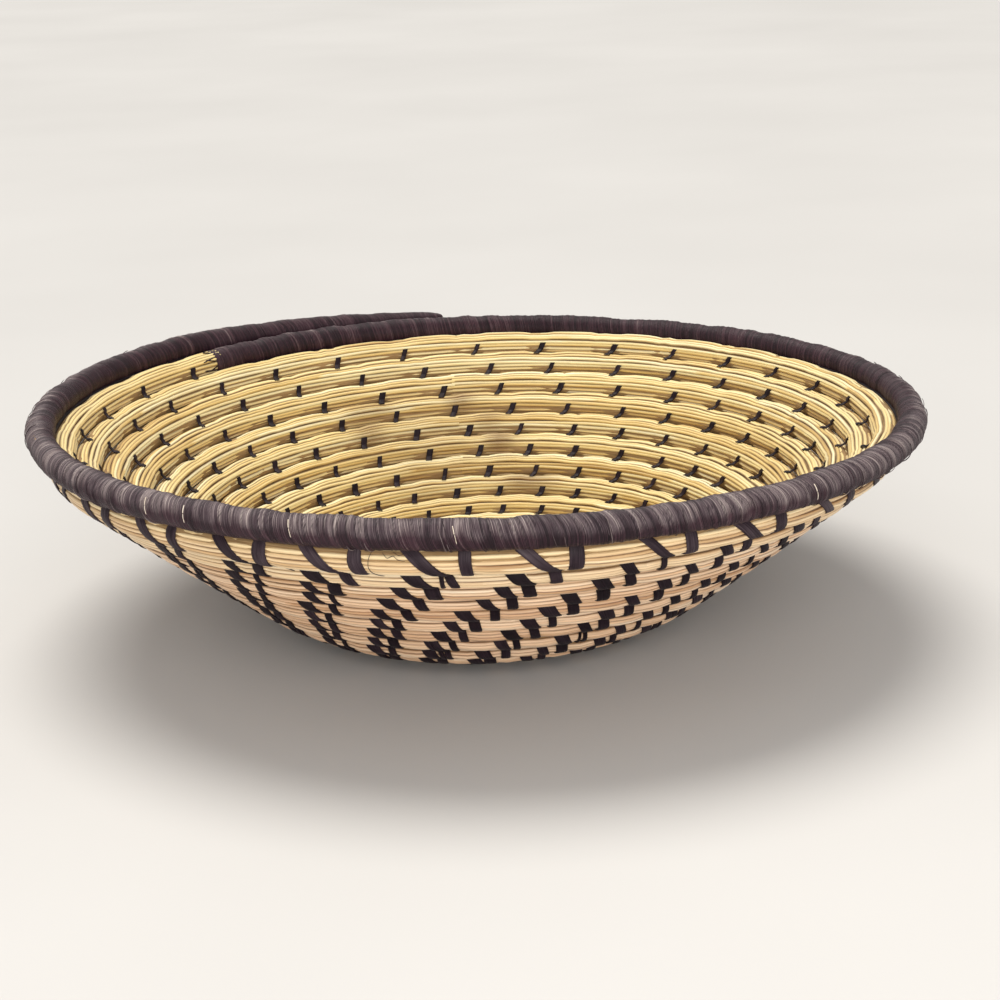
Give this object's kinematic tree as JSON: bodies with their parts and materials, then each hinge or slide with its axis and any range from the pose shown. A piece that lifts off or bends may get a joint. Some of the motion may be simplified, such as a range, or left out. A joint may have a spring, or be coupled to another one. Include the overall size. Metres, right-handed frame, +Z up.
{
  "type": "coiled basket bowl",
  "caption": "Shallow round bowl of a spirally coiled straw bundle, sewn row to row with dark fork-stitched strips and finished with a wrapped rim; for fruit, bread or display.",
  "frame": {"origin": "on the resting surface, under the middle of the bowl, where the coil starts", "axes": "+Z up along the bowl's axis; -Y towards the front of the picture; the rim's thinned end is towards +Y"},
  "size_m": [0.298, 0.2968, 0.0792],
  "materials": {
    "straw_bundle": "dry straw, matt with a faint sheen along the stems",
    "sewing_strip": "dyed flat plant strip, satin",
    "rim_strip": "dyed flat plant strip, satin, streaked along its length"
  },
  "bodies": {
    "root": {"foundation_coil": "straw_bundle", "rim_wrap": "rim_strip", "rim_lashing": "rim_strip", "sewing_strip_row_01": "sewing_strip", "sewing_strip_row_02": "sewing_strip", "sewing_strip_row_03": "sewing_strip", "sewing_strip_row_04": "sewing_strip", "sewing_strip_row_05": "sewing_strip", "sewing_strip_row_06": "sewing_strip", "sewing_strip_row_07": "sewing_strip", "sewing_strip_row_08": "sewing_strip", "sewing_strip_row_09": "sewing_strip", "sewing_strip_row_10": "sewing_strip", "base_sewing_strip_1": "sewing_strip", "base_sewing_strip_2": "sewing_strip", "base_sewing_strip_3": "sewing_strip"}
  },
  "joints": []
}
